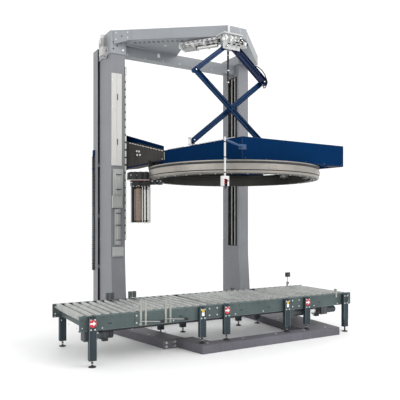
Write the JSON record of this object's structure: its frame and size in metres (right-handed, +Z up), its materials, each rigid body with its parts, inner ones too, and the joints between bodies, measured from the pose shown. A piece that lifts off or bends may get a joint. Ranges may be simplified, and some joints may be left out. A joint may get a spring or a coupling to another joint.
{
  "type": "ring pallet wrapper",
  "caption": "Rotary-ring pallet wrapper: twin columns, lifting ring carriage with film carriage, pantograph top press, roller conveyor and skewed base frame.",
  "frame": {"origin": "on the floor, at the centre of the whole machine's bounding box", "axes": "+X along the roller conveyor, +Y from the operator's side to the columns, +Z up"},
  "size_m": [4.657, 3.73, 5.035],
  "materials": {
    "column_paint": "satin",
    "cover_beige": "satin",
    "box_grey": "satin",
    "carriage_blue": "satin",
    "arm_grey": "satin",
    "press_blue": "satin",
    "conveyor_green": "satin",
    "base_paint": "satin",
    "zinc_steel": "galvanised",
    "ring_metal": "brushed",
    "dark_steel": "satin",
    "chain_steel": "oiled",
    "motor_paint": "satin",
    "drive_rubber": "matt",
    "film": "stretch film",
    "sensor_black": "matt",
    "roller_alu": "polished"
  },
  "bodies": {
    "frame": {"base_front_beam": "base_paint", "base_left_beam": "base_paint", "base_right_beam": "base_paint", "base_rear_beam": "base_paint", "flange_bolts": "zinc_steel", "left_column": "column_paint", "right_column": "column_paint", "left_column_cover": "cover_beige", "left_column_boxes": "box_grey", "left_column_rear_cover": "column_paint", "column_heads": "column_paint", "lift_gearmotor": "motor_paint", "lift_chains": "chain_steel", "top_left_beam": "column_paint", "top_front_beam": "column_paint", "top_right_beam": "column_paint", "top_rear_beam": "column_paint", "top_gusset_plate": "column_paint", "conveyor_frame": "conveyor_green", "conveyor_legs": "conveyor_green", "levelling_feet": "dark_steel", "conveyor_gearmotors": "motor_paint", "photocells": "sensor_black", "transfer_rollers": "zinc_steel", "press_bracket": "zinc_steel"},
    "lift_sprocket_left": {"lift_sprocket_left": "chain_steel"},
    "lift_sprocket_right": {"lift_sprocket_right": "chain_steel"},
    "carriage": {"carriage_front_cover": "carriage_blue", "carriage_left_beam": "carriage_blue", "carriage_right_beam": "carriage_blue", "carriage_cross_beams": "carriage_blue", "carriage_left_arm": "arm_grey", "carriage_right_arm": "arm_grey", "column_slides": "dark_steel", "load_photocell": "zinc_steel", "ring_drive_motor": "motor_paint"},
    "ring_drive_wheel": {"ring_drive_wheel": "drive_rubber"},
    "guide_roller_front": {"ring_guide_roller_front": "zinc_steel"},
    "guide_roller_rear": {"ring_guide_roller_rear": "zinc_steel"},
    "guide_roller_right": {"ring_guide_roller_right": "zinc_steel"},
    "ring": {"ring": "ring_metal", "film_carriage_frame": "dark_steel"},
    "film_reel": {"film_reel": "film"},
    "stretch_roller_outer": {"stretch_roller_outer": "roller_alu"},
    "stretch_roller_inner": {"stretch_roller_inner": "roller_alu"},
    "press": {"press_platen": "press_blue"},
    "upper_arm_left": {"press_upper_arm_left": "press_blue"},
    "upper_arm_right": {"press_upper_arm_right": "press_blue"},
    "long_arm_left": {"press_long_arm_left": "press_blue"},
    "long_arm_right": {"press_long_arm_right": "press_blue"},
    "slider_left": {"press_slider_left": "dark_steel"},
    "slider_right": {"press_slider_right": "dark_steel"},
    "wrapping_roller_1": {"wrapping_roller_1": "zinc_steel"},
    "wrapping_roller_2": {"wrapping_roller_2": "zinc_steel"},
    "wrapping_roller_3": {"wrapping_roller_3": "zinc_steel"},
    "wrapping_roller_4": {"wrapping_roller_4": "zinc_steel"},
    "wrapping_roller_5": {"wrapping_roller_5": "zinc_steel"},
    "wrapping_roller_6": {"wrapping_roller_6": "zinc_steel"},
    "wrapping_roller_7": {"wrapping_roller_7": "zinc_steel"},
    "wrapping_roller_8": {"wrapping_roller_8": "zinc_steel"}
  },
  "joints": [
    {"name": "carriage_lift", "type": "slide", "parent": "frame", "child": "carriage", "axis": [0, 0, 1], "range_m": [-1.05, 0.85]},
    {"name": "lift_sprocket_left_spin", "type": "hinge", "parent": "frame", "child": "lift_sprocket_left", "pos_m": [-0.9245, 1.279, 4.72], "axis": [1, 0, 0], "range_deg": [-484, 392]},
    {"name": "lift_sprocket_right_spin", "type": "hinge", "parent": "frame", "child": "lift_sprocket_right", "pos_m": [1.5215, 1.279, 4.72], "axis": [1, 0, 0], "range_deg": [-484, 392]},
    {"name": "ring_spin", "type": "hinge", "parent": "carriage", "child": "ring", "pos_m": [0.3785, -0.361, 2.555], "axis": [0, 0, 1], "continuous": true},
    {"name": "guide_roller_front_spin", "type": "hinge", "parent": "carriage", "child": "guide_roller_front", "pos_m": [-0.14707, -1.361, 2.606], "axis": [0, 0, 1], "continuous": true},
    {"name": "guide_roller_rear_spin", "type": "hinge", "parent": "carriage", "child": "guide_roller_rear", "pos_m": [-0.41913, 0.439, 2.606], "axis": [0, 0, 1], "continuous": true},
    {"name": "guide_roller_right_spin", "type": "hinge", "parent": "carriage", "child": "guide_roller_right", "pos_m": [1.50377, -0.261, 2.606], "axis": [0, 0, 1], "continuous": true},
    {"name": "drive_wheel_spin", "type": "hinge", "parent": "carriage", "child": "ring_drive_wheel", "pos_m": [1.13594, -1.221, 2.535], "axis": [0, 0, 1], "continuous": true},
    {"name": "film_reel_spin", "type": "hinge", "parent": "ring", "child": "film_reel", "pos_m": [-0.94327, 0.3418, 2.08], "axis": [0, 0, 1], "continuous": true},
    {"name": "stretch_roller_outer_spin", "type": "hinge", "parent": "ring", "child": "stretch_roller_outer", "pos_m": [-0.85851, 0.29673, 2.08], "axis": [0, 0, 1], "continuous": true},
    {"name": "stretch_roller_inner_spin", "type": "hinge", "parent": "ring", "child": "stretch_roller_inner", "pos_m": [-0.81348, 0.27279, 2.08], "axis": [0, 0, 1], "continuous": true},
    {"name": "press_lift", "type": "slide", "parent": "frame", "child": "press", "axis": [0, 0, 1], "range_m": [-0.75, 0.05]},
    {"name": "upper_arm_left_swing", "type": "hinge", "parent": "frame", "child": "upper_arm_left", "pos_m": [0.3455, -0.176, 4.648], "axis": [0, 1, 0], "range_deg": [-28.5, 2.83]},
    {"name": "upper_arm_right_swing", "type": "hinge", "parent": "frame", "child": "upper_arm_right", "pos_m": [0.5515, -0.176, 4.648], "axis": [0, 1, 0], "range_deg": [-2.83, 28.5]},
    {"name": "long_arm_left_swing", "type": "hinge", "parent": "upper_arm_left", "child": "long_arm_left", "pos_m": [-0.23093, -0.176, 4.18238], "axis": [0, 1, 0], "range_deg": [-4.43, 52.43]},
    {"name": "long_arm_right_swing", "type": "hinge", "parent": "upper_arm_right", "child": "long_arm_right", "pos_m": [1.12793, -0.176, 4.18238], "axis": [0, 1, 0], "range_deg": [-52.43, 4.43]},
    {"name": "slider_left_travel", "type": "slide", "parent": "press", "child": "slider_left", "axis": [1, 0, 0], "range_m": [-0.0163, 0.2157]},
    {"name": "slider_right_travel", "type": "slide", "parent": "press", "child": "slider_right", "axis": [1, 0, 0], "range_m": [-0.2157, 0.0163]},
    {"name": "wrapping_roller_1_spin", "type": "hinge", "parent": "frame", "child": "wrapping_roller_1", "pos_m": [-0.0415, -0.361, 0.5955], "axis": [0, 1, 0], "continuous": true},
    {"name": "wrapping_roller_2_spin", "type": "hinge", "parent": "frame", "child": "wrapping_roller_2", "pos_m": [0.0785, -0.361, 0.5955], "axis": [0, 1, 0], "continuous": true},
    {"name": "wrapping_roller_3_spin", "type": "hinge", "parent": "frame", "child": "wrapping_roller_3", "pos_m": [0.1985, -0.361, 0.5955], "axis": [0, 1, 0], "continuous": true},
    {"name": "wrapping_roller_4_spin", "type": "hinge", "parent": "frame", "child": "wrapping_roller_4", "pos_m": [0.3185, -0.361, 0.5955], "axis": [0, 1, 0], "continuous": true},
    {"name": "wrapping_roller_5_spin", "type": "hinge", "parent": "frame", "child": "wrapping_roller_5", "pos_m": [0.4385, -0.361, 0.5955], "axis": [0, 1, 0], "continuous": true},
    {"name": "wrapping_roller_6_spin", "type": "hinge", "parent": "frame", "child": "wrapping_roller_6", "pos_m": [0.5585, -0.361, 0.5955], "axis": [0, 1, 0], "continuous": true},
    {"name": "wrapping_roller_7_spin", "type": "hinge", "parent": "frame", "child": "wrapping_roller_7", "pos_m": [0.6785, -0.361, 0.5955], "axis": [0, 1, 0], "continuous": true},
    {"name": "wrapping_roller_8_spin", "type": "hinge", "parent": "frame", "child": "wrapping_roller_8", "pos_m": [0.7985, -0.361, 0.5955], "axis": [0, 1, 0], "continuous": true}
  ],
  "couplings": [
    {"joint": "lift_sprocket_left_spin", "follows": "carriage_lift", "rad_per_m": 8},
    {"joint": "lift_sprocket_right_spin", "follows": "carriage_lift", "rad_per_m": 8},
    {"joint": "guide_roller_front_spin", "follows": "ring_spin", "ratio": 19.833},
    {"joint": "guide_roller_rear_spin", "follows": "ring_spin", "ratio": 19.833},
    {"joint": "guide_roller_right_spin", "follows": "ring_spin", "ratio": 19.833},
    {"joint": "drive_wheel_spin", "follows": "ring_spin", "ratio": 17.446},
    {"joint": "stretch_roller_outer_spin", "follows": "film_reel_spin", "ratio": -3.0909},
    {"joint": "stretch_roller_inner_spin", "follows": "film_reel_spin", "ratio": 3.4},
    {"joint": "upper_arm_left_swing", "follows": "press_lift", "rad_per_m": 0.64},
    {"joint": "upper_arm_right_swing", "follows": "press_lift", "rad_per_m": -0.64},
    {"joint": "long_arm_left_swing", "follows": "press_lift", "rad_per_m": -1.1968},
    {"joint": "long_arm_right_swing", "follows": "press_lift", "rad_per_m": 1.1968},
    {"joint": "slider_left_travel", "follows": "press_lift", "ratio": -0.285},
    {"joint": "slider_right_travel", "follows": "press_lift", "ratio": 0.285},
    {"joint": "wrapping_roller_2_spin", "follows": "wrapping_roller_1_spin", "ratio": 1},
    {"joint": "wrapping_roller_3_spin", "follows": "wrapping_roller_1_spin", "ratio": 1},
    {"joint": "wrapping_roller_4_spin", "follows": "wrapping_roller_1_spin", "ratio": 1},
    {"joint": "wrapping_roller_5_spin", "follows": "wrapping_roller_1_spin", "ratio": 1},
    {"joint": "wrapping_roller_6_spin", "follows": "wrapping_roller_1_spin", "ratio": 1},
    {"joint": "wrapping_roller_7_spin", "follows": "wrapping_roller_1_spin", "ratio": 1},
    {"joint": "wrapping_roller_8_spin", "follows": "wrapping_roller_1_spin", "ratio": 1}
  ]
}
